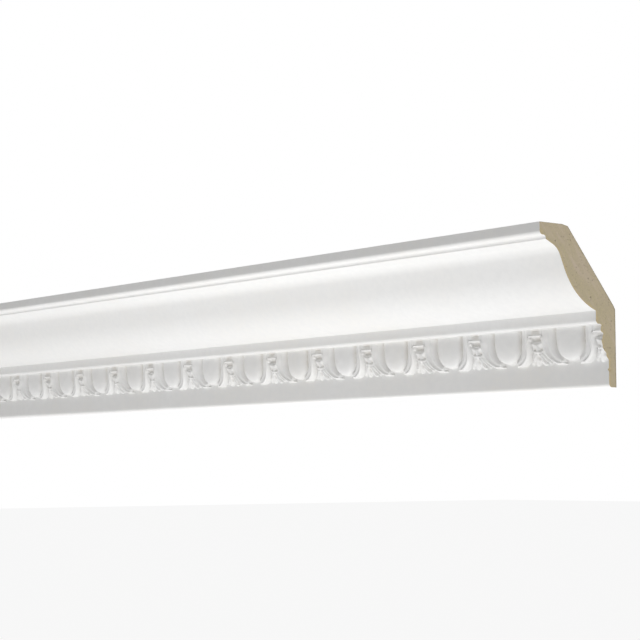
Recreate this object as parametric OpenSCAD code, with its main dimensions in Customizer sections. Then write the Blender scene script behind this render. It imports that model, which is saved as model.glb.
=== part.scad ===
// A length of crown moulding for the angle between a wall and a ceiling, moulded in rigid foam as one
// piece. It runs along X and stands out to -Y, and the origin is the middle of its flat wall face.
// A profile point is [stand, level]: how far it stands out from the wall, and its height above the foot.

/* [Overall] */
// Length of the piece, cut square at both ends
length = 952; // [300:1:2400]
// Height down the wall
height = 120; // [100:1:160]
// How far the top stands out from the wall
projection = 80.5; // [68:0.5:110]

/* [Back] */
// Height of the flat face that bears on the wall
wall_face_h = 60; // [48:1:72]
// Width of the flat face that bears on the ceiling
ceiling_face_w = 29; // [22:1:36]
// Rounding of the two corners of the hollow back
back_r = 5; // [1:0.5:8]

/* [Top fascia] */
// Height of the band along the top
top_band_h = 9.5; // [6:0.5:14]
// Rounding of the band's lower edge
top_band_r = 3; // [0.5:0.5:4]
// How far the step below the band is set back from it
step_back = 6.3; // [4.5:0.1:9]
// Height of that step
step_h = 3; // [1.5:0.5:5]

/* [Ogee] */
// Angle of the ogee's upper end, off its chord
cap_turn = 19.5; // [10:0.5:24]
// Angle of its steep middle, off its chord
flank_turn = 22; // [14:0.5:28]
// Angle of its lower end, off its chord
foot_turn = 24.5; // [14:0.5:28]
// Radius of the nose, the convex bend
nose_r = 15; // [6:0.5:20]
// Radius of the cove, the hollow bend
cove_r = 55; // [30:1:60]

/* [Fillet] */
// How far the plain band above the carving stands out
fillet_stand = 21.5; // [20:0.5:26]
// Height of that band
fillet_h = 9.8; // [6:0.2:14]
// Rounding of its lower edge
fillet_r = 2.8; // [0.5:0.1:4]

/* [Lower fascia] */
// How far the plain band under the carving stands out
foot_stand = 8; // [6:0.2:9]
// Height of that band
foot_h = 20; // [14:0.5:26]
// Rounding of its lower edge
foot_r = 2.4; // [0.5:0.1:3]

/* [Carved course] */
// Distance from one egg to the next
pitch = 67.9; // [60:0.1:84]
// How far the husks and darts stand out at the top of the course
course_stand = 17; // [15:0.5:18.5]
// Width of an egg
egg_w = 32.5; // [27:0.5:39]
// How far an egg reaches below the fillet
egg_drop = 25.6; // [22:0.1:26.5]
// How far an egg stands out from the wall
egg_stand = 19.5; // [18:0.5:20]
// Depth of the groove round an egg
groove_depth = 4; // [2:0.5:5]
// Distance from an egg's centre to the crest of the husk beside the dart
husk_reach = 26; // [23:0.5:27]
// Distance from an egg's centre to the tip of its husk
husk_tip = 8.5; // [6:0.5:12]
// Half the width of the fan at a dart's foot
fan_reach = 10; // [7:0.5:12]

/* [Hidden] */

primer = [0.95, 0.95, 0.94];

// Levels and lines of the profile, from the top down.
band_foot = height - top_band_h;
step_stand = projection - step_back;
step_foot = band_foot - step_h;
course_h = 27.5;
course_top = foot_h + course_h;
fillet_top = course_top + fillet_h;

// The bed is cut behind the course, which is let into it and so has no seam of its own.
bed_stand = foot_stand - 1;
bed_depth = 3;
bed_lap = 2.2;

// The finest turn between two points of a rounding.
arc_step = 6;

function unit(v) = v / norm(v);
function heading(angle) = [-cos(angle), -sin(angle)];
function cross2(a, b) = a.x * b.y - a.y * b.x;

// The point where the line from a along u meets the line from b along v.
function meet(a, u, b, v) = a + u * cross2(b - a, v) / cross2(u, v);

// The points that round the corner at b, between a and c. A radius too large for the corner's sides is
// cut down to what they hold.
function rounded(a, b, c, radius) =
    let (to_a = unit(a - b), to_c = unit(c - b), half = acos(to_a * to_c) / 2)
    let (reach = min(radius / tan(half), 0.48 * norm(a - b), 0.7 * norm(c - b)), r = reach * tan(half))
    let (centre = b + unit(to_a + to_c) * r / sin(half), from = b + to_a * reach - centre)
    let (turn = sign(cross2(to_c, to_a)) * (180 - 2 * half), steps = ceil(abs(turn) / arc_step))
    [for (i = [0:steps]) let (w = turn * i / steps)
        centre + [from.x * cos(w) - from.y * sin(w), from.x * sin(w) + from.y * cos(w)]];

// A closed outline from [point, radius] corners.
function outline(corners) =
    let (n = len(corners))
    [for (i = [0:n - 1])
        let (a = corners[(i + n - 1) % n][0], b = corners[i][0], c = corners[(i + 1) % n][0])
        each (corners[i][1] == 0 ? [b] : rounded(a, b, c, corners[i][1]))];

// The ogee runs from the step to the fillet: a nose, a steep flank and a cove. The flank crosses the
// chord a third of the way down.
ogee_start = [step_stand, step_foot];
ogee_end = [fillet_stand, fillet_top];
chord = ogee_start - ogee_end;
chord_angle = atan2(chord.y, chord.x);
crossing = ogee_start - chord / 3;
flank = heading(chord_angle + flank_turn);
nose_corner = meet(ogee_start, heading(chord_angle - cap_turn), crossing, flank);
cove_corner = meet(ogee_end, heading(chord_angle - foot_turn), crossing, flank);

profile = outline([
    [[0, 0], 0],
    [[0, wall_face_h], back_r],
    [[projection - ceiling_face_w, height], back_r],
    [[projection, height], 0],
    [[projection, band_foot], top_band_r],
    [[step_stand, band_foot], 0],
    [ogee_start, 0],
    [nose_corner, nose_r],
    [cove_corner, cove_r],
    [ogee_end, 0],
    [[fillet_stand, course_top], fillet_r],
    [[bed_stand, course_top], 0],
    [[bed_stand, foot_h + 1], 0],
    [[foot_stand, foot_h], 0],
    [[foot_stand, 0], foot_r],
]);

// The carved course. Half a repeat goes from the middle of an egg to the middle of a dart, and is a grid:
// its columns follow the egg's edge, the husk's ridges and the dart's edge down its rows. How far down
// the course a row lies is its share, 0 at the fillet and 1 at the tips.
rows = [-0.02, 0.09, 0.15, 0.21, 0.29, 0.37, 0.46, 0.57, 0.68, 0.78, 0.88, 0.96, 1.02];
columns = 11;

// Member by member down a dart: cap, hollow, petals, waist, bud, eye and fan. Each is [share, how far it
// stands out from the course] in the first list, and [share, half its width] in the second.
dart_relief = [[0, -1], [0.13, -0.6], [0.17, 0.8], [0.22, 0.8], [0.3, -1.6], [0.42, 0.5], [0.53, -0.5],
    [0.64, 1], [0.75, -0.6], [0.87, 0.6], [1, 1]];
dart_width = [[0, 4], [0.13, 5], [0.17, 7.5], [0.22, 7.5], [0.3, 5.5], [0.42, 5.5], [0.53, 3],
    [0.64, 4], [0.8, 0.7 * fan_reach], [1, fan_reach]];

// How far the husks and darts stand out, and how deep the grooves between them are.
tip_stand = foot_stand + 1.5;
function level(share) = course_top - share * course_h;
function crest(share) = tip_stand + (course_stand - tip_stand) * cos(90 * min(max(share, 0), 1));
function floor_stand(share) = max(crest(share) - groove_depth, bed_stand + 0.6);

// A curve that starts at full width, keeps it most of the way down, and closes in a round end.
function round_end(way, fullness, closing) =
    way >= 1 ? 0 : pow(1 - pow(max(way, 0), fullness), 1 / closing);

function egg_half(share) = max(egg_w / 2 * round_end(share * course_h / egg_drop, 5, 2.2), 1.5);
function egg_front(share) =
    let (close = round_end(share * course_h / egg_drop, 3.5, 2))
    foot_stand + (egg_stand - foot_stand) * close;
function husk_crest(share) = husk_tip + (husk_reach - husk_tip) * round_end(share, 5, 2);
function husk_inner(share) = max(egg_half(share) + 2.2, husk_tip - 1.5);

// The distance from the middle of the egg to each column, at a row.
function offsets(share) =
    let (egg = egg_half(share), inner = husk_inner(share))
    let (outer = max(husk_crest(share), inner + 2), leaf = lookup(share, dart_width))
    let (foot = outer + 1.8, half = pitch / 2, edge = max(half - leaf, foot + 1.2))
    [0, 0.5 * egg, 0.82 * egg, egg, inner, inner + 0.35 * (outer - inner), outer, foot,
        max(edge - 1, foot + 0.6), edge, half - 0.45 * (half - edge), half];

// How far each column stands out, at a row.
function stands(share) =
    let (low = floor_stand(share), high = crest(share), egg = max(egg_front(share) - low, 0))
    let (dart = high + lookup(share, dart_relief), inside = share > 1 ? bed_stand - 0.5 : high)
    [low + egg, low + 0.93 * egg, low + 0.7 * egg, low, inside, min(inside, high - 0.9), inside,
        low, low, min(inside, dart - 0.8), min(inside + 2, dart), min(inside + 2, dart - 0.5)];

half_repeats = ceil(length / pitch);

// One row of the grid, over the whole length, at the named stand or lifted flat to hide in the body.
function row(share, flat) =
    let (away = offsets(share), out = stands(share))
    [for (h = [-half_repeats:half_repeats], c = [0:columns - 1])
        if (h < half_repeats || c == 0)
            let (even = h % 2 == 0, k = even ? columns - c : c)
            let (egg_x = (even ? h + 1 : h) * pitch / 2, x = egg_x + (even ? -away[k] : away[k]))
            [x, is_undef(flat) ? -out[k] : -flat, level(share)]];

module carved_course() {
    share_lap = bed_lap / course_h;
    front = concat([row(-share_lap, course_stand - groove_depth)], [for (s = rows) row(s)],
        [row(1 + share_lap, bed_stand - 1)]);
    wide = len(front[0]);
    deep = len(front);
    back_y = bed_depth - bed_stand;
    first = front[0][0].x;
    last = front[0][wide - 1].x;
    top = front[0][0].z;
    bottom = front[deep - 1][0].z;
    back = [[first, back_y, top], [last, back_y, top], [last, back_y, bottom], [first, back_y, bottom]];
    b = wide * deep;
    grid = [for (r = [0:deep - 2], c = [0:wide - 2])
        let (i = r * wide + c)
        each [[i, i + 1, i + wide + 1], [i, i + wide + 1, i + wide]]];
    lid = [b, b + 1, for (c = [wide - 1:-1:0]) c];
    base = [b + 2, b + 3, for (c = [0:wide - 1]) (deep - 1) * wide + c];
    left = [b, for (r = [0:deep - 1]) r * wide, b + 3];
    right = [b + 2, for (r = [deep - 1:-1:0]) r * wide + wide - 1, b + 1];
    polyhedron(concat([for (r = front) each r], back), concat(grid, [lid, base, left, right,
        [b, b + 3, b + 2, b + 1]]));
}

module moulded_profile() {
    run = length + 2 * pitch;
    translate([-run / 2, 0, 0])
        rotate([90, 0, 90])
            linear_extrude(run)
                polygon([for (p = profile) [-p.x, p.y]]);
}

// Both are made too long, and cut square together.
module cornice_moulding() {
    margin = 5;
    color(primer)
        translate([0, 0, -wall_face_h / 2])
            intersection() {
                union() {
                    moulded_profile();
                    carved_course();
                }
                translate([-length / 2, -projection - margin, -margin])
                    cube([length, projection + 2 * margin, height + 2 * margin]);
            }
}

cornice_moulding();
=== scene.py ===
"""The looks of a length of crown moulding: white-primed rigid foam with an egg-and-dart course.

The ends are bare sawn foam, and the back is the foam's own unpainted skin. Sizes are in metres.
"""
import math

import bpy
import numpy as np
from bpy.props import FloatProperty, FloatVectorProperty, IntProperty, PointerProperty
from mathutils import Matrix, Vector


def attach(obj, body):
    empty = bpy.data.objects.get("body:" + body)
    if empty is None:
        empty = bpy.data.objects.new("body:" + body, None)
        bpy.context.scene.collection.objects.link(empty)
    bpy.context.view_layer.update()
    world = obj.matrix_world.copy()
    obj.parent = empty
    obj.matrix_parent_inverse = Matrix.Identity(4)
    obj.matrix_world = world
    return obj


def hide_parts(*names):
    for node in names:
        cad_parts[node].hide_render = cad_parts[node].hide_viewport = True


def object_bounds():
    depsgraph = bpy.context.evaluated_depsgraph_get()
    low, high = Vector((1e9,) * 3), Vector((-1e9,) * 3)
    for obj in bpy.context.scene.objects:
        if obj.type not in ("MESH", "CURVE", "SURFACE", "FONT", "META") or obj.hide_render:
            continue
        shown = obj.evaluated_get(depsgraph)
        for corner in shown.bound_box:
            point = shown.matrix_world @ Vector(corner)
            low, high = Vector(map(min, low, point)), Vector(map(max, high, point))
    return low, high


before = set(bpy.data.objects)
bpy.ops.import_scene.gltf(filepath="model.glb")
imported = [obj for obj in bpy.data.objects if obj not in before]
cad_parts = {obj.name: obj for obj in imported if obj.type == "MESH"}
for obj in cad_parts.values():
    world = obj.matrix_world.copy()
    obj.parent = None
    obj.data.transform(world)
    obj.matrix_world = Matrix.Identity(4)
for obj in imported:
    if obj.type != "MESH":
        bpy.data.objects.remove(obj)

bl_info = {
    "name": "Egg and Dart Cornice",
    "version": (1, 0, 0),
    "blender": (4, 5, 0),
    "location": "View3D > Sidebar > Cornice",
    "description": "Builds a length of carved crown moulding and the plain stage that it is shown on",
    "category": "Add Mesh",
}

NODE = "cornice_moulding"
PIECE = "moulded_cornice"
MM = 0.001
SHARP_ANGLE = math.radians(38.0)

CAD_LOW, CAD_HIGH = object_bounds()
LENGTH = CAD_HIGH.x - CAD_LOW.x
HEIGHT = CAD_HIGH.z - CAD_LOW.z
PROJECTION = CAD_HIGH.y - CAD_LOW.y


def length_of(name, description, default, smallest=0.0):
    """A size in metres that the sidebar shows as a length."""
    return FloatProperty(
        name=name, description=description, default=default, min=smallest, unit="LENGTH", precision=5
    )


def turn_of(name, description, degrees):
    """An angle that the sidebar shows in degrees."""
    return FloatProperty(
        name=name, description=description, default=math.radians(degrees), subtype="ANGLE"
    )


def tint_of(name, description, colour):
    """A colour that the sidebar shows as a swatch."""
    return FloatVectorProperty(
        name=name, description=description, default=colour, size=3, min=0.0, max=1.0, subtype="COLOR"
    )


class ProfileSizes(bpy.types.PropertyGroup):
    """The plain members of the profile, which run straight along the whole length."""

    wall_face_h: length_of("Wall face", "Height of the flat face that bears on the wall", 0.060)
    ceiling_face_w: length_of("Ceiling face", "Width of the flat face that bears on the ceiling", 0.029)
    back_r: length_of("Back rounding", "Rounding of the two corners of the hollow back", 0.005)
    top_band_h: length_of("Top band", "Height of the band along the top", 0.0095)
    top_band_r: length_of("Top band rounding", "Rounding of the band's lower edge", 0.003)
    step_back: length_of("Step", "How far the step under the band is set back", 0.0063)
    step_h: length_of("Step height", "Height of that step", 0.003)
    step_r: length_of("Step rounding", "Rounding of the step's inner corner", 0.0022)
    cap_turn: turn_of("Cap turn", "Angle of the ogee's upper end, off its chord", 19.5)
    flank_turn: turn_of("Flank turn", "Angle of the ogee's steep middle, off its chord", 22.0)
    foot_turn: turn_of("Foot turn", "Angle of the ogee's lower end, off its chord", 24.5)
    nose_r: length_of("Nose", "Radius of the ogee's convex bend", 0.015)
    cove_r: length_of("Cove", "Radius of the ogee's hollow bend", 0.055)
    fillet_stand: length_of("Fillet stand", "How far the band above the carving stands out", 0.0215)
    fillet_h: length_of("Fillet height", "Height of the band above the carving", 0.0098)
    fillet_r: length_of("Fillet rounding", "Rounding of that band's lower edge", 0.0028)
    foot_stand: length_of("Foot stand", "How far the band under the carving stands out", 0.008)
    foot_h: length_of("Foot height", "Height of the band under the carving", 0.020)
    foot_r: length_of("Foot rounding", "Rounding of that band's lower edge", 0.0030)


class CourseSizes(bpy.types.PropertyGroup):
    """The egg-and-dart course, one repeat of which is an egg, its husk and a dart."""

    pitch: length_of("Repeat", "Distance from one egg to the next", 0.0679, 0.02)
    course_h: length_of("Course height", "Height from the husks' tips up to the fillet", 0.0275, 0.005)
    top_stand: length_of("Dart stand", "How far darts stand out at the top", 0.0169)
    husk_stand: length_of("Husk stand", "How far husks stand out at the top", 0.0179)
    husk_tip_stand: length_of("Husk tip stand", "How far a husk's tips stand out", 0.0123)
    dart_tip_stand: length_of("Dart tip stand", "How far the dart's lobes stand out at their tips", 0.0095)
    groove_stand: length_of("Groove stand", "How far the groove round an egg stands out at the top", 0.0121)
    groove_tip_stand: length_of("Groove foot", "How far that groove stands out under the egg", 0.0104)
    egg_stand: length_of("Egg stand", "How far an egg stands out", 0.0166)
    egg_w: length_of("Egg width", "Width of an egg", 0.0296)
    egg_drop: length_of("Egg drop", "How far an egg reaches below the fillet", 0.0256)
    inner_reach: length_of("Inner ridge", "Egg's centre to the crest beside the egg", 0.0199)
    inner_tip: length_of("Inner ridge tip", "Egg's centre to that crest's tip", 0.0076)
    outer_reach: length_of("Outer ridge", "Egg's centre to the crest beside the dart", 0.0257)
    outer_tip: length_of("Outer ridge tip", "Egg's centre to that crest's tip", 0.0080)
    inner_drop: length_of("Inner ridge drop", "How far the crest beside the egg reaches down", 0.0259)
    outer_start: length_of("Outer ridge start", "How far down the crest beside the dart starts", 0.0068)
    outer_drop: length_of("Outer ridge drop", "How far the crest beside the dart reaches down", 0.0286)
    columns: IntProperty(
        name="Columns", description="Columns of the mesh across one repeat", default=96, min=24, max=160
    )
    rows: IntProperty(
        name="Rows", description="Rows of the mesh down the course", default=54, min=20, max=90
    )


class Finish(bpy.types.PropertyGroup):
    """Colours of the primer and of the foam."""

    primer: tint_of("Primer", "White primer on the moulded face", (0.885, 0.883, 0.875))
    foam: tint_of("Sawn foam", "Bare foam on the cut ends", (0.51, 0.435, 0.325))
    foam_rim: tint_of("Foam skin", "Denser foam next to the moulded faces", (0.55, 0.44, 0.25))
    back: tint_of("Back skin", "Unpainted skin on the back", (0.58, 0.49, 0.33))
    backdrop: tint_of("Stage", "Plain pale floor and backdrop", (0.92, 0.92, 0.92))


# ---------------------------------------------------------------------------------------------------
# The profile. A point is [stand, level]: how far it stands out from the wall, and its height above the
# foot of the moulding.

ARC_STEP = math.radians(4.0)
OGEE_FOOT_R, OGEE_HEAD_R = 0.25 * MM, 0.3 * MM

# The fillet's underside and the moulding's underside are rounded over nearly their whole depth.
NEARLY_WHOLE = 0.999
SEAM = 0.02 * MM


def unit(v):
    """The vector at length one."""
    return v / np.linalg.norm(v)


def heading(angle):
    """The direction that runs back towards the wall and down, at this angle."""
    return np.array([-math.cos(angle), -math.sin(angle)])


def cross(a, b):
    """The cross product of two flat vectors."""
    return a[0] * b[1] - a[1] * b[0]


def meet(a, u, b, v):
    """Where the line from a along u meets the line from b along v."""
    return a + u * cross(b - a, v) / cross(u, v)


def rounded(a, b, c, radius):
    """Points that round the corner at b, between a and c."""
    to_a, to_c = unit(a - b), unit(c - b)
    half = math.acos(float(to_a @ to_c)) / 2
    reach = radius / math.tan(half)
    centre = b + unit(to_a + to_c) * radius / math.sin(half)
    spoke = b + to_a * reach - centre
    turn = math.copysign(math.pi - 2 * half, cross(to_c, to_a))
    steps = max(2, math.ceil(abs(turn) / ARC_STEP))
    points = []
    for angle in turn * np.arange(steps + 1) / steps:
        right, up = math.cos(angle), math.sin(angle)
        points.append(centre + [spoke[0] * right - spoke[1] * up, spoke[0] * up + spoke[1] * right])
    return points


def path(corners):
    """An open path through (point, radius) corners."""
    points = [np.array(corners[0][0], float)]
    for before, here, after in zip(corners, corners[1:], corners[2:]):
        a, b, c = (np.array(corner[0], float) for corner in (before, here, after))
        points += rounded(a, b, c, here[1]) if here[1] else [b]
    points.append(np.array(corners[-1][0], float))
    return np.array(points)


def course_top(profile, course):
    """Level of the fillet's underside, where the carving starts."""
    return profile.foot_h + course.course_h


def upper_front(profile, course):
    """The front from the carving's upper edge to the top, past the fillet, the ogee and the top band."""
    top = course_top(profile, course)
    band_foot = HEIGHT - profile.top_band_h
    start = np.array([PROJECTION - profile.step_back, band_foot - profile.step_h])
    end = np.array([profile.fillet_stand, top + profile.fillet_h])
    chord = start - end
    slope = math.atan2(chord[1], chord[0])
    crossing = start - chord / 3
    flank = heading(slope + profile.flank_turn)
    nose = meet(start, heading(slope - profile.cap_turn), crossing, flank)
    cove = meet(end, heading(slope - profile.foot_turn), crossing, flank)
    lip = profile.fillet_stand - profile.fillet_r
    return path(
        [
            ([lip - SEAM, top], 0),
            ([profile.fillet_stand, top], profile.fillet_r * NEARLY_WHOLE),
            (end, OGEE_FOOT_R),
            (cove, profile.cove_r),
            (nose, profile.nose_r),
            (start, OGEE_HEAD_R),
            ([start[0], band_foot], profile.step_r),
            ([PROJECTION, band_foot], profile.top_band_r),
            ([PROJECTION, HEIGHT], 0),
        ]
    )


def lower_front(profile, foot_line):
    """The front from the underside up to the carving's lower edge, divided more finely at the chip."""
    chip_halves = (-6, *range(-4, 5), 6)
    return path(
        [
            ([profile.foot_stand - profile.foot_r - SEAM, 0], 0),
            ([profile.foot_stand, 0], profile.foot_r * NEARLY_WHOLE),
            *(([profile.foot_stand, CHIP_LEVEL + CHIP_H * half / 2], 0) for half in chip_halves),
            ([profile.foot_stand, foot_line], 0),
        ]
    )


def back_line(profile):
    """The back from the foot up: the wall face, the hollow slope and the edge of the ceiling face."""
    return path(
        [
            ([0, 0], 0),
            ([0, profile.wall_face_h], profile.back_r),
            ([PROJECTION - profile.ceiling_face_w, HEIGHT], profile.back_r),
            ([PROJECTION - profile.ceiling_face_w + profile.back_r, HEIGHT], 0),
        ]
    )


def along(points, shares):
    """Points at these shares of a path's length."""
    steps = np.linalg.norm(np.diff(points, axis=0), axis=1)
    run = np.concatenate([[0], np.cumsum(steps)]) / steps.sum()
    return np.stack([np.interp(shares, run, points[:, i]) for i in range(2)], axis=1)


# ---------------------------------------------------------------------------------------------------
# The carving. Places are (away, drop) from the middle of an egg or (off, drop) from the middle of a dart,
# where drop is how far below the fillet. A relief of 1 is the crest, and 0 is the floor of the grooves.
# A share runs from 0 at the fillet to 1 at the course's foot.

FOOT_LAP = 1.3 * MM
UNEVEN = 0.09 * MM
RIDGE_STEPS = 40


def eased(value, low, high):
    """0 below low, 1 above high, and a smooth rise between."""
    t = np.clip((value - low) / (high - low), 0, 1)
    return t * t * (3 - 2 * t)


def near_path(away, drop, points):
    """Distance to a path, and the share of its length at the nearest place."""
    points = np.asarray(points, float)
    steps = np.linalg.norm(np.diff(points, axis=0), axis=1)
    starts = np.concatenate([[0], np.cumsum(steps)[:-1]])
    best = np.full(away.shape, np.inf)
    share = np.zeros(away.shape)
    for a, b, start, step in zip(points, points[1:], starts, steps):
        d = (b - a) / step
        t = np.clip((away - a[0]) * d[0] + (drop - a[1]) * d[1], 0, step)
        gap = np.hypot(away - a[0] - d[0] * t, drop - a[1] - d[1] * t)
        share = np.where(gap < best, (start + t) / steps.sum(), share)
        best = np.minimum(best, gap)
    return best, share


def roll(away, drop, points, start_w, end_w, fullness=0.6):
    """A rounded ridge along a path, from one half width to another. It is 1 on its crest."""
    gap, share = near_path(away, drop, points)
    width = start_w + (end_w - start_w) * share
    return np.clip(1 - (gap / width) ** 2, 0, 1) ** fullness


def pit(away, drop, at, half_w, half_h):
    """A soft round hollow, 1 in its middle."""
    reach = np.hypot((away - at[0]) / half_w, (drop - at[1]) / half_h)
    return np.exp(-np.clip(reach, 0, 4) ** 2.4)


def closing(way, fullness, ending):
    """A width that holds most of the way down and then closes in a round end."""
    return np.clip(1 - np.clip(way, 0, 1) ** fullness, 0, 1) ** (1 / ending)


def ridge_line(start, ending, reach, tip, fullness):
    """The crest of a husk's ridge from its top down to its tip, as (away, drop) points."""
    shares = 1 - (1 - np.linspace(0, 1, RIDGE_STEPS)) ** 2
    drops = start + (ending - start) * shares
    return np.stack([tip + (reach - tip) * closing(shares, fullness, 1.5), drops], axis=1)


def falling(top, tip, share, hold=1.0):
    """A stand that falls from its top value to its tip value, faster towards the tip."""
    return tip + (top - tip) * np.cos(share**hold * math.pi / 2)


def egg_edge(course, drop):
    """Half the width of an egg at this level."""
    return course.egg_w / 2 * closing(drop / course.egg_drop, 4, 2)


def egg_relief(course, away, drop):
    """The egg: upright at the top, and rounding under to its tip."""
    across = np.clip(away / np.maximum(egg_edge(course, drop), 0.01 * MM), 0, 1)
    down = np.clip(drop / course.egg_drop, 0, 1)
    return (1 - across**2.3) ** 0.5 * (1 - down**3.0) ** 0.5


def husk_relief(course, away, drop, inner, outer):
    """One side of a husk: a flank up from the egg's groove, two ridges and a valley between them."""
    outer_x = np.interp(drop, outer[:, 1], outer[:, 0])
    inner_x = np.interp(drop, inner[:, 1], inner[:, 0])
    groove_x = egg_edge(course, drop) + 0.4 * MM
    rise = np.clip((away - groove_x) / np.maximum(inner_x - groove_x, 0.3 * MM), 0, 1)
    level = 0.58 + 0.04 * eased(drop, 14 * MM, 22 * MM)
    across = np.clip((away - inner_x) / np.maximum(outer_x - inner_x, 0.5 * MM), 0, 1)
    lower = eased(drop, 7 * MM, 14 * MM)
    valley = np.sin(math.pi * across) * (0.02 + 0.08 * lower)
    body = level * np.sin(rise * math.pi / 2) + (0.96 - level) * across ** (1.3 + 0.5 * lower) - valley
    return np.maximum(body, roll(away, drop, inner, 1.2 * MM, 1.0 * MM) * (level + 0.08))


def husk_height(profile, course, away, drop, share):
    """How far a husk stands out, down to the plain ground round it."""
    ground = profile.foot_stand
    inner = ridge_line(0, course.inner_drop, course.inner_reach, course.inner_tip, fullness=5)
    outer = ridge_line(
        course.outer_start, course.outer_drop, course.outer_reach, course.outer_tip, fullness=3.3
    )
    crest = falling(course.husk_stand, course.husk_tip_stand, share, 1.4)
    floor = falling(course.groove_stand, course.groove_tip_stand, share)
    body = floor + (crest - floor) * husk_relief(course, away, drop, inner, outer)

    # Past the outer ridge the husk drops to the ground, faster towards its tips.
    outer_x = np.interp(drop, outer[:, 1], outer[:, 0])
    gap, _ = near_path(away, drop, outer)
    beyond = np.where(away > outer_x, gap, -gap)
    side = (2.2 - 1.3 * eased(share, 0.5, 0.92)) * MM
    kept = 1 - eased(beyond, -0.3 * MM, side)

    # The tips of both ridges end on one slanting line.
    tip_run = outer[-1] - inner[-1]
    past_tips = cross(unit(tip_run), [away - inner[-1][0], drop - inner[-1][1]])
    kept = kept * (1 - eased(past_tips, -2.0 * MM, 0.4 * MM))

    bead = roll(away, drop, outer, 2.5 * MM, 1.7 * MM, 0.5)
    return np.maximum(ground + (body - ground) * kept, ground + (crest + 0.2 * MM - ground) * bead)


def dart_leaf(off, drop):
    """The low leaf behind the dart, thinner at its foot, and the brow across its head."""
    drops = np.array((0, 10, 14, 18, 22, 27.5)) * MM
    halves = np.array((7.5, 7.0, 6.6, 7.2, 9.4, 11)) * MM
    half_w = np.interp(drop, drops, halves)
    leaf = 1 - eased(off, half_w - 1.4 * MM, half_w + 0.6 * MM)
    upper = 1 - eased(drop, 15 * MM, 20 * MM)
    above_foot = 1 - eased(drop, 22.5 * MM, 25.5 * MM)
    brow = (1 - eased(off, 8 * MM, 11 * MM)) * (1 - eased(drop, 5.0 * MM, 6.4 * MM))
    return np.maximum(leaf * (0.16 + (0.50 + 0.12 * upper) * above_foot), 0.96 * brow)


def dart_hollows(off, drop):
    """How much lower the head lies in its panel, in the slot over it and in the hollow under the cap."""
    panel = (1 - eased(off, 3.9 * MM, 5.2 * MM)) * eased(drop, 0.2 * MM, 1.0 * MM)
    panel = panel * (1 - eased(drop, 2.4 * MM, 4.4 * MM))
    slot = (1 - eased(off, 3.2 * MM, 3.9 * MM)) * eased(drop, 0.3 * MM, 0.7 * MM)
    slot = slot * (1 - eased(drop, 1.3 * MM, 1.9 * MM))
    hollow = (1 - eased(off, 4.0 * MM, 5.0 * MM)) * eased(drop, 5.9 * MM, 6.7 * MM)
    hollow = hollow * np.clip((9.8 * MM - drop) / (1.6 * MM), 0, 1)
    return 0.10 * panel + 0.18 * slot + 0.34 * hollow


def dart_bosses(off, drop):
    """The raised parts over the leaf, from the cap down to the four lobes."""

    def boss(relief, places, start_w, end_w, fullness=0.6):
        """A rounded part with its path and half widths in millimetres."""
        return relief * roll(off, drop, np.array(places) * MM, start_w * MM, end_w * MM, fullness)

    cap_ends = 0.98 + 0.2 * np.clip(off / (6 * MM), 0, 1) ** 2
    cap = boss(cap_ends, [(0, 5.0), (6.4, 5.0), (7.4, 6.0)], 1.5, 1.4)
    knob = boss(1.12, [(6.0, 6.8), (6.2, 7.8)], 1.7, 1.5)
    petal = boss(1.02, [(4.4, 11.2), (2.0, 12.2)], 2.4, 2.1, 0.5)
    neck = boss(1.22, [(0, 12.4), (0, 16.4)], 2.3, 2.3)
    cheek = boss(1.0, [(4.6, 16.8), (5.0, 17.6)], 1.3, 1.1)
    stem = boss(1.02, [(0, 14.0), (0, 24.0)], 3.4, 3.2, 0.4)
    bud = boss(1.34, [(0, 17.8), (1.8, 18.0)], 2.7, 2.3)
    collar = boss(1.2, [(2.0, 20.4), (1.9, 22.6)], 1.2, 1.1)
    inner_lobe = boss(1.45, [(1.7, 20.0), (3.1, 24.2), (4.5, 27.0)], 1.8, 1.5, 0.5)
    outer_lobe = boss(1.05, [(3.4, 19.6), (6.6, 23.5), (9.4, 25.9)], 1.8, 1.2, 0.5)
    head = np.maximum.reduce([cap, knob, petal, neck])
    foot = np.maximum.reduce([cheek, stem, bud, collar, inner_lobe, outer_lobe])
    return np.maximum(head, foot)


def dart_pits(off, drop):
    """How deep the small holes are: two under the petals, the eye, and the gaps between the lobes."""
    holes = 0.25 * pit(off, drop, (3.7 * MM, 15.3 * MM), 1.1 * MM, 0.8 * MM)
    eye = 0.6 * pit(off, drop, (0, 21.9 * MM), 1.3 * MM, 1.8 * MM)
    middle_gap = 0.9 * pit(off, drop, (0, 26.2 * MM), 1.0 * MM, 2.0 * MM)
    side_gaps = 0.9 * pit(off, drop, (6.6 * MM, 26.6 * MM), 1.0 * MM, 2.0 * MM)
    return holes + eye + middle_gap + side_gaps


def dart_height(profile, course, off, drop, share):
    """How far the dart stands out, down to the plain ground round it."""
    ground = profile.foot_stand
    crest = falling(course.top_stand, course.dart_tip_stand, share)
    floor = falling(course.groove_stand, ground, share)
    relief = np.maximum(dart_leaf(off, drop) - dart_hollows(off, drop), dart_bosses(off, drop))
    relief = relief - dart_pits(off, drop)
    near_dart = (1 - eased(off, 10.5 * MM, 12.5 * MM)) * (relief > 0.02)
    return ground + (floor - ground + (crest - floor) * relief) * near_dart


def from_dart(course, x):
    """How far places along the length are from the middle of the nearest dart."""
    half = course.pitch / 2
    return np.abs((x + half) % course.pitch - half)


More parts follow.
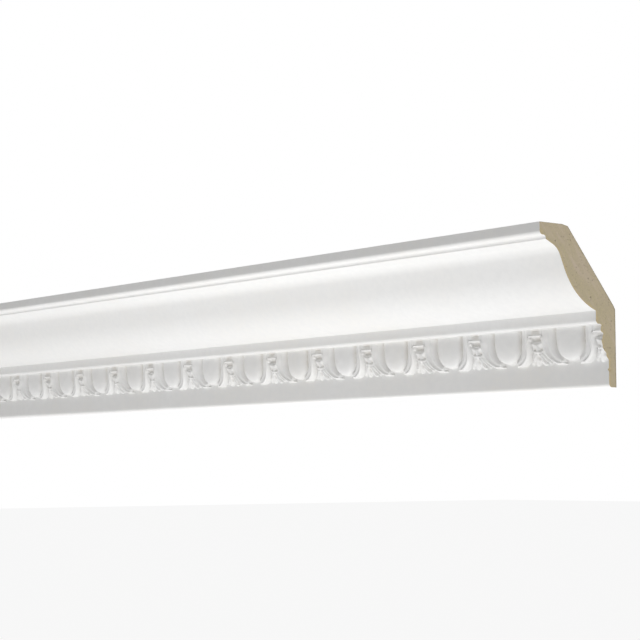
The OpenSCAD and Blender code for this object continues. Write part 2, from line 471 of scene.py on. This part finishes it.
def painted_hollow_shade(course, x, drop):
    """Painted shade: how much the hollows and the tops of the grooves beside the eggs are tinted darker and
    warmer, towards the foam colour.
    """
    off = from_dart(course, x)
    away = course.pitch / 2 - off
    panel = (1 - eased(off, 3.8 * MM, 5.4 * MM)) * (1 - eased(drop, 4.2 * MM, 5.0 * MM))
    slot = pit(off, drop, (0, 1.1 * MM), 3.9 * MM, 0.8 * MM)
    hollow = pit(off, drop, (0, 7.8 * MM), 5.2 * MM, 1.9 * MM)
    holes = pit(off, drop, (3.6 * MM, 15.3 * MM), 1.3 * MM, 1.0 * MM)
    eye = pit(off, drop, (0, 22.0 * MM), 1.0 * MM, 1.5 * MM)
    beside = np.abs(away - egg_edge(course, drop)) / (1.7 * MM)
    groove = np.exp(-(beside**2)) * (1 - eased(drop, 12 * MM, 22 * MM))
    hollows = np.maximum(np.maximum(slot, hollow), np.maximum(holes, eye))
    return np.maximum(np.maximum(hollows, 0.7 * panel), 0.8 * groove)


def course_stand(profile, course, x, drop):
    """How far the carving stands out, at places along the length and below the fillet."""
    off = from_dart(course, x)
    away = course.pitch / 2 - off
    share = np.clip(drop / course.course_h, 0, 1)
    egg = egg_relief(course, away, drop)
    floor = falling(course.groove_stand, course.groove_tip_stand, share)
    egg_height = floor + (course.egg_stand - floor) * egg
    husk = husk_height(profile, course, away, drop, share)
    dart = dart_height(profile, course, off, drop, share)
    number = np.floor(x / course.pitch)
    lumps = np.sin(x / (2.3 * MM) + 1.7 * number) * np.sin(drop / (2.9 * MM) + 2.3 * number)
    stand = np.where(egg > 0, egg_height + UNEVEN * lumps * egg**2, np.maximum(husk, dart))
    ending = eased(drop, course.course_h - 0.1 * MM, course.course_h + 0.7 * MM)
    stand = stand + (profile.foot_stand - stand) * ending
    return np.clip(stand, profile.foot_stand, profile.fillet_stand - profile.fillet_r - 0.1 * MM)


# ---------------------------------------------------------------------------------------------------
# The mesh. One closed surface: the carving is a fine grid, the plain members are long strips, and each
# end is a grid between the front and the back.

PRIMER, FOAM, BACK = range(3)
CAP_COLUMNS = 26
CAP_SHARES = np.linspace(0, 1, CAP_COLUMNS + 1) ** 1.5

# The thickness that the foam counts as, for points that lie on its front or its back.
BACK_DEPTH = 20 * MM

# The chip in the right end: how deep it is, its level, and how far it spreads up and in.
CHIP_DEPTH, CHIP_LEVEL, CHIP_H, CHIP_W = 1.2 * MM, 13.4 * MM, 1.0 * MM, 2.0 * MM


class Builder:
    """Gathers points and faces, and shares points that lie in the same place."""

    def __init__(self):
        self.points = []
        self.faces = []
        self.kinds = []
        self.hollow_shade = []
        self.depth = []
        self.gap = []
        self.found = {}

    def point(self, x, stand, level, hollow_shade, depth, gap):
        """The number of the point here, with its painted shade for the hollows and its way from the front
        and back.
        """
        place = (x, -stand, level)
        key = tuple(round(v * 1e7) for v in place)
        if key not in self.found:
            self.found[key] = len(self.points)
            self.points.append(place)
            self.hollow_shade.append(float(hollow_shade))
            self.depth.append(float(depth))
            self.gap.append(float(gap))
        return self.found[key]

    def face(self, corners, kind):
        """A face, without repeated corners."""
        kept = [n for i, n in enumerate(corners) if n != corners[i - 1]]
        if len(set(kept)) > 2:
            self.faces.append(kept)
            self.kinds.append(kind)

    def grid(self, numbers, kind):
        """Faces between the rows of a grid of point numbers."""
        for above, below in zip(numbers, numbers[1:]):
            for i in range(len(above) - 1):
                self.face([above[i], above[i + 1], below[i + 1], below[i]], kind)


def fine_stations(course):
    """Places along the length for the carving's columns, the two ends among them."""
    half = LENGTH / 2
    step = course.pitch / course.columns
    count = math.floor(half / step)
    inside = np.arange(-count, count + 1) * step
    inside = inside[np.abs(inside) < half - step / 4]
    return np.concatenate([[-half], inside, [half]])


def coarse_stations(course, fine):
    """The fewer places where the plain members are divided, all of them carving columns too."""
    every = course.columns // 2
    count = (len(fine) - 3) // 2
    from_end = np.minimum(fine - fine[0], fine[-1] - fine)
    picks = [i for i in range(1, len(fine) - 1) if (i - 1 - count) % every == 0]
    kept = [i for i in picks if from_end[i] > course.pitch / 8]
    return [0, *kept, len(fine) - 1]


def carved_course(body, profile, course, fine, drops):
    """The carving. It gives the numbers of its points, and how far each stands out."""
    top = course_top(profile, course)
    grid_x, grid_drop = np.meshgrid(fine, drops)
    stands = course_stand(profile, course, grid_x, grid_drop)
    stands[-1] = profile.foot_stand
    # Painted shade for the hollows and grooves, kept at the points.
    hollow_shades = painted_hollow_shade(course, grid_x, grid_drop)
    carving = []
    for level, row, hollow_shade_row in zip(top - drops, stands, hollow_shades):
        places = zip(fine, row, hollow_shade_row)
        carving.append([body.point(x, stand, level, hollow_shade, 0.0, BACK_DEPTH) for x, stand, hollow_shade in places])
    body.grid([row[::-1] for row in carving], PRIMER)
    return carving, stands


def flat_points(front, back):
    """Points across the top or the underside, without its two edges."""
    return front + (back - front) * CAP_SHARES[1:-1, None]


def plain_members(body, course, fine, upper, lower, backing):
    """Long strips round the rest of the moulding, from the carving's upper edge to its lower one."""
    marks = coarse_stations(course, fine)
    xs = fine[marks]
    sections = (
        (upper, PRIMER, 0.0),
        (flat_points(upper[-1], backing[-1]), BACK, BACK_DEPTH),
        (backing[::-1], BACK, BACK_DEPTH),
        (flat_points(lower[0], backing[0])[::-1], PRIMER, 0.0),
        (lower, PRIMER, 0.0),
    )
    strips, kinds = [], []
    for points, kind, depth in sections:
        for stand, level in points:
            dent = chip(level, 0.0) if points is lower else 0.0
            ends = (*xs[:-1], xs[-1] - dent)
            strips.append([body.point(x, stand, level, 0.0, depth, BACK_DEPTH - depth) for x in ends])
            kinds.append(kind)
    for above, below, kind in zip(strips, strips[1:], kinds[1:]):
        body.grid([above, below], kind)
    return marks, strips


def stitch(body, marks, strips, carving):
    """Faces between the carving's many columns and the few of the plain members over and under it."""
    for cell, (start, stop) in enumerate(zip(marks, marks[1:])):
        under_fillet = carving[0][start : stop + 1]
        body.face([strips[0][cell + 1], strips[0][cell], *under_fillet], PRIMER)
        over_foot = carving[-1][start : stop + 1]
        body.face([strips[-1][cell], strips[-1][cell + 1], *over_foot[::-1]], PRIMER)


def build_mesh(profile, course):
    """The whole moulding as a list of points, faces and face kinds."""
    body = Builder()
    drops = np.linspace(0, course.course_h + FOOT_LAP, course.rows)
    levels = course_top(profile, course) - drops
    fine = fine_stations(course)
    carving, stands = carved_course(body, profile, course, fine, drops)
    upper = upper_front(profile, course)
    lower = lower_front(profile, levels[-1])[:-1]
    left, right = (
        np.concatenate([lower, np.stack([stands[::-1, end], levels[::-1]], axis=1), upper])
        for end in (0, -1)
    )
    backing = matching_back(profile, left, back_line(profile))
    marks, strips = plain_members(body, course, fine, upper, lower, backing)
    stitch(body, marks, strips, carving)
    for x, front, on_right in ((fine[0], left, False), (fine[-1], right, True)):
        rows = [cap_row(body, x, before, behind, on_right) for before, behind in zip(front, backing)]
        body.grid(rows if on_right else [row[::-1] for row in rows], FOAM)
    return body


def cap_row(body, x, front, back, chipped):
    """One row of points across a sawn end, closer together near the front."""
    row = []
    reach = np.linalg.norm(back - front)
    for share in CAP_SHARES:
        stand, level = front + (back - front) * share
        depth = reach * share
        dent = chip(level, depth) if chipped else 0.0
        row.append(body.point(x - dent, stand, level, 0.0, depth, reach - depth))
    return row


def chip(level, depth):
    """How far the chip in the right end is dented here."""
    return CHIP_DEPTH * math.exp(-(((level - CHIP_LEVEL) / CHIP_H) ** 2) - (depth / CHIP_W) ** 2)


def matching_back(profile, front, back):
    """A point of the back for each point of the front: about level on the wall face, then by share."""
    steps = np.linalg.norm(np.diff(front, axis=0), axis=1)
    run = np.concatenate([[0], np.cumsum(steps)])
    first = int(np.searchsorted(front[:, 1], profile.wall_face_h - profile.back_r))
    slope = back[1:]
    share = (run[first:] - run[first]) / (run[-1] - run[first])
    wall_levels = np.interp(front[:first, 1], [0, front[first, 1]], [0, slope[0][1]])
    wall = np.stack([np.zeros(first), wall_levels], axis=1)
    return np.concatenate([wall, along(slope, share)])


# ---------------------------------------------------------------------------------------------------
# Finishes

# A Mix node's colour sockets go by number, because its other sockets have the same names.
COLOUR_A, COLOUR_B, COLOUR_OUT = 6, 7, 2


class Tree:
    """A short way to add nodes to a material and join them."""

    def __init__(self, name):
        self.material = bpy.data.materials.new(name)
        self.material.use_nodes = True
        self.nodes = self.material.node_tree.nodes
        self.links = self.material.node_tree.links
        self.shader = self.nodes["Principled BSDF"]
        self.place = self.add("ShaderNodeTexCoord").outputs["Object"]

    def add(self, kind, **settings):
        """A node with these settings."""
        node = self.nodes.new(kind)
        for name, value in settings.items():
            setattr(node, name, value)
        return node

    def join(self, source, target):
        """A link from one socket to another."""
        self.links.new(source, target)

    def stretched(self, scale, place=None):
        """Coordinates stretched by these three factors."""
        node = self.add("ShaderNodeMapping")
        node.inputs["Scale"].default_value = scale
        self.join(place or self.place, node.inputs["Vector"])
        return node.outputs["Vector"]

    def turned(self, angle):
        """Object coordinates turned about the moulding's length."""
        node = self.add("ShaderNodeVectorRotate", rotation_type="X_AXIS")
        node.inputs["Angle"].default_value = angle
        self.join(self.place, node.inputs["Vector"])
        return node.outputs["Vector"]

    def painted(self, name):
        """A value that the mesh carries at its points."""
        return self.add("ShaderNodeAttribute", attribute_name=name).outputs["Fac"]

    def noise(self, scale, detail=3.0, place=None):
        """Smooth noise from 0 to 1."""
        node = self.add("ShaderNodeTexNoise")
        node.inputs["Scale"].default_value = scale
        node.inputs["Detail"].default_value = detail
        self.join(place or self.place, node.inputs["Vector"])
        return node.outputs["Fac"]

    def cells(self, scale):
        """Distance to the nearest of scattered points."""
        node = self.add("ShaderNodeTexVoronoi")
        node.inputs["Scale"].default_value = scale
        self.join(self.place, node.inputs["Vector"])
        return node.outputs["Distance"]

    def ranged(self, value, low, high, to_low=0.0, to_high=1.0):
        """A value carried from one range to another."""
        node = self.add("ShaderNodeMapRange")
        for name, number in zip(("From Min", "From Max", "To Min", "To Max"), (low, high, to_low, to_high)):
            node.inputs[name].default_value = number
        self.join(value, node.inputs["Value"])
        return node.outputs["Result"]

    def mixed(self, share, a, b):
        """Two colours, mixed by a share. Each is a socket or plain numbers."""
        node = self.add("ShaderNodeMix", data_type="RGBA")
        self.join(share, node.inputs["Factor"])
        for socket, colour in ((node.inputs[COLOUR_A], a), (node.inputs[COLOUR_B], b)):
            if isinstance(colour, bpy.types.NodeSocket):
                self.join(colour, socket)
            else:
                socket.default_value = (*colour, 1.0)
        return node.outputs[COLOUR_OUT]

    def sums(self, a, b, operation="ADD"):
        """Two values joined by one sum."""
        node = self.add("ShaderNodeMath", operation=operation)
        for socket, value in zip(node.inputs, (a, b)):
            if isinstance(value, bpy.types.NodeSocket):
                self.join(value, socket)
            else:
                socket.default_value = value
        return node.outputs["Value"]

    def bumped(self, height, distance, normal=None):
        """A bump of this height in metres, on top of an earlier one if there is one."""
        node = self.add("ShaderNodeBump")
        node.inputs["Distance"].default_value = distance
        self.join(height, node.inputs["Height"])
        if normal is not None:
            self.join(normal, node.inputs["Normal"])
        return node.outputs["Normal"]


def shade(colour, factor):
    """A colour made lighter or darker."""
    return tuple(min(1.0, channel * factor) for channel in colour)


def primer_finish(finish):
    """White primer, brushed a little along the length and faintly mottled, with painted shade that tints the
    hollows and grooves darker and warmer.
    """
    t = Tree("white_primer")
    white = tuple(finish.primer)
    warm = (white[0] * 0.985, white[1] * 0.975, white[2] * 0.955)
    colour = t.mixed(t.ranged(t.noise(14.0, 4.0), 0.35, 0.7), white, warm)
    mottles = t.ranged(t.noise(190.0, 3.0), 0.38, 0.66, 0.0, 0.6)
    colour = t.mixed(mottles, colour, shade(white, 0.955))
    # Painted shade: the hollows and grooves are mixed a little towards the foam colour, darker and warmer.
    hollow_shade = t.sums(t.painted("painted_hollow_shade"), t.ranged(t.noise(260.0), 0.3, 0.7, 0.12, 0.34), "MULTIPLY")
    t.join(t.mixed(hollow_shade, colour, tuple(finish.foam)), t.shader.inputs["Base Color"])
    brushed = t.noise(240.0, 4.0, t.stretched((0.05, 1.0, 1.0)))
    t.join(t.ranged(brushed, 0.2, 0.8, 0.40, 0.56), t.shader.inputs["Roughness"])
    coarse = t.bumped(t.noise(90.0, 3.0), 0.00003)
    lines = t.bumped(brushed, 0.00002, normal=coarse)
    grain = t.bumped(t.noise(1500.0, 2.0), 0.00001, normal=lines)
    t.join(grain, t.shader.inputs["Normal"])
    t.shader.inputs["Specular IOR Level"].default_value = 0.45
    return t.material


def pored(t):
    """Scattered pores of two sizes, 1 inside a pore."""
    fine = t.ranged(t.cells(620.0), 0.10, 0.24, 1.0, 0.0)
    sparse = t.ranged(t.noise(110.0, 2.0), 0.50, 0.62)
    large = t.ranged(t.cells(150.0), 0.05, 0.12, 1.0, 0.0)
    return t.sums(t.sums(fine, sparse, "MULTIPLY"), large, "MAXIMUM")


FLOW_TURN = math.radians(-40.0)
WANDER_LOW, WANDER_HIGH = -0.0016, 0.0020


def foam_finish(finish):
    """Bare sawn foam: tan, dull and mottled, with fine pores darkened by painted shade, faint flow lines and
    denser edges.

    The mesh says how far each place is from the front (foam_depth) and from the back (foam_gap).
    """
    t = Tree("sawn_foam")
    foam = tuple(finish.foam)
    flow = t.noise(260.0, 5.0, t.stretched((1.0, 1.0, 0.16), t.turned(FLOW_TURN)))
    wander = t.ranged(t.noise(160.0), 0.3, 0.7, WANDER_LOW, WANDER_HIGH)
    inward = t.sums(t.painted("foam_depth"), wander)
    outward = t.sums(t.painted("foam_gap"), t.ranged(wander, WANDER_LOW, WANDER_HIGH, -0.0003, 0.0003))
    rosy = (foam[0] * 1.02, foam[1] * 0.99, foam[2] * 1.10)
    green = (foam[0] * 0.97, foam[1] * 0.98, foam[2] * 0.84)
    clouds = t.mixed(t.ranged(t.noise(30.0, 3.0), 0.35, 0.65, 0.0, 0.5), green, rosy)
    deeper = t.mixed(t.ranged(inward, 0.004, 0.014), green, clouds)
    mottled = t.mixed(t.ranged(t.noise(800.0, 4.0), 0.3, 0.7, 0.0, 0.65), deeper, shade(foam, 0.80))
    streaked = t.mixed(t.ranged(flow, 0.48, 0.72, 0.0, 0.4), mottled, shade(rosy, 1.12))
    skin = t.ranged(inward, -0.0008, 0.0030, 0.75, 0.0)
    fronted = t.mixed(skin, streaked, tuple(finish.foam_rim))
    skinned = t.mixed(t.ranged(outward, 0.0002, 0.0011, 0.75, 0.0), fronted, shade(green, 0.45))
    pores = pored(t)
    # Painted shade: the insides of the pores are darkened.
    pores_shade_painted = t.mixed(t.ranged(pores, 0.0, 1.0, 0.0, 0.62), skinned, shade(foam, 0.42))
    t.join(pores_shade_painted, t.shader.inputs["Base Color"])
    t.shader.inputs["Roughness"].default_value = 0.92
    t.shader.inputs["Specular IOR Level"].default_value = 0.2
    sawn = t.bumped(t.noise(900.0, 4.0), 0.00015)
    t.join(t.bumped(t.ranged(pores, 0.0, 1.0, 1.0, 0.0), 0.0004, normal=sawn), t.shader.inputs["Normal"])
    return t.material


def back_finish(finish):
    """The unpainted skin of the foam on the back: smoother and yellower, with shallow flow marks."""
    t = Tree("foam_skin")
    skin = tuple(finish.back)
    clouds = t.noise(22.0, 5.0, t.stretched((0.4, 1.0, 1.0)))
    colour = t.mixed(t.ranged(clouds, 0.3, 0.7), shade(skin, 0.9), shade(skin, 1.06))
    specks = t.ranged(t.cells(240.0), 0.06, 0.14, 0.7, 0.0)
    t.join(t.mixed(specks, colour, shade(skin, 0.55)), t.shader.inputs["Base Color"])
    t.join(t.ranged(clouds, 0.3, 0.7, 0.55, 0.72), t.shader.inputs["Roughness"])
    t.shader.inputs["Specular IOR Level"].default_value = 0.35
    wavy = t.bumped(t.noise(40.0, 4.0), 0.0004)
    t.join(t.bumped(t.noise(700.0, 3.0), 0.00006, normal=wavy), t.shader.inputs["Normal"])
    return t.material


# ---------------------------------------------------------------------------------------------------
# Operators


def linked(name, data):
    """A new object in the scene."""
    piece = bpy.data.objects.new(name, data)
    bpy.context.scene.collection.objects.link(piece)
    return piece


class CORNICE_OT_moulding(bpy.types.Operator):
    """Build the moulding: its profile, its carved course and its sawn ends."""

    bl_idname = "cornice.moulding"
    bl_label = "Build Moulding"

    def execute(self, context):
        profile, course = context.scene.cornice_profile, context.scene.cornice_course
        finish = context.scene.cornice_finish
        body = build_mesh(profile, course)
        points = np.array(body.points)
        points[:, 0] += (CAD_LOW.x + CAD_HIGH.x) / 2
        points[:, 1] += CAD_HIGH.y
        points[:, 2] += CAD_LOW.z

        mesh = bpy.data.meshes.new(PIECE)
        mesh.from_pydata(points.tolist(), [], body.faces)
        for make in (primer_finish, foam_finish, back_finish):
            mesh.materials.append(make(finish))
        mesh.polygons.foreach_set("material_index", body.kinds)
        # The first of these carries painted shade for the hollows and grooves.
        painted = {"painted_hollow_shade": body.hollow_shade, "foam_depth": body.depth, "foam_gap": body.gap}
        for name, values in painted.items():
            mesh.attributes.new(name, "FLOAT", "POINT").data.foreach_set("value", values)
        mesh.shade_smooth()
        mesh.set_sharp_from_angle(angle=SHARP_ANGLE)
        if mesh.validate(verbose=False):
            raise RuntimeError("the moulding's mesh had faults")

        piece = linked(PIECE, mesh)
        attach(piece, "root")
        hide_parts(NODE)
        return {"FINISHED"}


FLOOR_DROP = 0.75
FLOOR_REACH = 30.0
FILL_STRENGTH = 0.07

# The camera's place from the right end's foot at the wall. Its aim is a turn to the left, a rise and a lean.
CAMERA_SPOT = Vector((0.9264, -1.0343, -0.0627))
CAMERA_AIM = (math.radians(51.14), math.radians(4.79), math.radians(-0.22))
CAMERA_LENS = 101.9


def soft_light(name, place, aim, size, power):
    """A rectangular soft light that doesn't show itself."""
    light = bpy.data.lights.new(name, "AREA")
    light.shape = "RECTANGLE"
    light.size, light.size_y = size
    light.energy = power
    piece = linked(name, light)
    piece.location = place
    piece.rotation_euler = (Vector(aim) - Vector(place)).to_track_quat("-Z", "Y").to_euler()
    piece.visible_camera = False


class CORNICE_OT_stage(bpy.types.Operator):
    """Set the pale floor, the soft lights and the camera."""

    bl_idname = "cornice.stage"
    bl_label = "Set Stage"

    def execute(self, context):
        finish = context.scene.cornice_finish
        self.floor(CAD_LOW.z - FLOOR_DROP, tuple(finish.backdrop))
        self.surroundings(context.scene)
        self.lights()
        self.camera(context.scene)
        return {"FINISHED"}

    def floor(self, level, colour):
        """A wide pale floor that glows evenly, so that it stays plain."""
        mesh = bpy.data.meshes.new("floor")
        sides = [(-1, -1), (1, -1), (1, 1), (-1, 1)]
        corners = [(x * FLOOR_REACH, y * FLOOR_REACH, level) for x, y in sides]
        mesh.from_pydata(corners, [], [(0, 1, 2, 3)])
        material = bpy.data.materials.new("pale_floor")
        material.use_nodes = True
        shader = material.node_tree.nodes["Principled BSDF"]
        shader.inputs["Base Color"].default_value = (*shade(colour, 0.15), 1.0)
        shader.inputs["Roughness"].default_value = 0.9
        shader.inputs["Emission Color"].default_value = (*colour, 1.0)
        shader.inputs["Emission Strength"].default_value = 1.0
        mesh.materials.append(material)
        linked("floor", mesh)

    def surroundings(self, scene):
        """A white surround that gives only a little light."""
        world = bpy.data.worlds.new("studio")
        world.use_nodes = True
        nodes, links = world.node_tree.nodes, world.node_tree.links
        soft = nodes["Background"]
        soft.inputs["Color"].default_value = (1.0, 0.99, 0.98, 1.0)
        soft.inputs["Strength"].default_value = FILL_STRENGTH
        shown = nodes.new("ShaderNodeBackground")
        shown.inputs["Color"].default_value = (1.0, 1.0, 1.0, 1.0)
        seen = nodes.new("ShaderNodeLightPath")
        mix = nodes.new("ShaderNodeMixShader")
        links.new(seen.outputs["Is Camera Ray"], mix.inputs["Fac"])
        for background, socket in zip((soft, shown), mix.inputs[1:]):
            links.new(background.outputs["Background"], socket)
        links.new(mix.outputs["Shader"], nodes["World Output"].inputs["Surface"])
        scene.world = world

    def lights(self):
        """A long light below, one at each side, and one high up behind."""
        middle = (0.1, -0.05, 0.03)
        soft_light("low", (0.25, -0.085, -0.5), middle, (1.9, 0.32), 2.15)
        soft_light("left_side", (-4.0, -0.2, -0.5), middle, (0.6, 2.0), 16.0)
        soft_light("right_side", (2.2, 0.12, 0.1), middle, (1.2, 1.2), 9.8)
        soft_light("high_back", (0.2, 1.6, 1.4), middle, (2.4, 1.4), 40.0)

    def camera(self, scene):
        """A long lens off the right end, aimed a little up."""
        turn, rise, lean = CAMERA_AIM
        ahead = Vector((-math.sin(turn) * math.cos(rise), math.cos(turn) * math.cos(rise), math.sin(rise)))
        spot = Vector((CAD_HIGH.x, CAD_HIGH.y, CAD_LOW.z)) + CAMERA_SPOT
        data = bpy.data.cameras.new("camera")
        data.lens = CAMERA_LENS
        piece = linked("camera", data)
        facing = ahead.to_track_quat("-Z", "Y").to_matrix().to_4x4()
        piece.matrix_world = Matrix.Translation(spot) @ facing @ Matrix.Rotation(lean, 4, "Z")
        scene.camera = piece
        scene.view_settings.view_transform = "Standard"


class CORNICE_PT_panel(bpy.types.Panel):
    """Everything that builds the moulding and its stage."""

    bl_idname = "CORNICE_PT_panel"
    bl_label = "Egg and Dart Cornice"
    bl_space_type = "VIEW_3D"
    bl_region_type = "UI"
    bl_category = "Cornice"

    def draw(self, context):
        layout = self.layout
        for operator in (CORNICE_OT_moulding, CORNICE_OT_stage):
            layout.operator(operator.bl_idname)
        for title, group in (
            ("Profile", context.scene.cornice_profile),
            ("Carved course", context.scene.cornice_course),
            ("Finish", context.scene.cornice_finish),
        ):
            box = layout.box()
            box.label(text=title)
            for name in group.bl_rna.properties.keys():
                if name not in {"rna_type", "name"}:
                    box.prop(group, name)


CLASSES = (ProfileSizes, CourseSizes, Finish, CORNICE_OT_moulding, CORNICE_OT_stage, CORNICE_PT_panel)


def register():
    """Add the classes and their settings to Blender."""
    for each in CLASSES:
        bpy.utils.register_class(each)
    bpy.types.Scene.cornice_profile = PointerProperty(type=ProfileSizes)
    bpy.types.Scene.cornice_course = PointerProperty(type=CourseSizes)
    bpy.types.Scene.cornice_finish = PointerProperty(type=Finish)


def unregister():
    """Take them away again."""
    for name in ("cornice_profile", "cornice_course", "cornice_finish"):
        delattr(bpy.types.Scene, name)
    for each in reversed(CLASSES):
        bpy.utils.unregister_class(each)


def main():
    """Build everything."""
    register()
    bpy.ops.cornice.moulding()
    bpy.ops.cornice.stage()


if __name__ == "__main__":
    main()
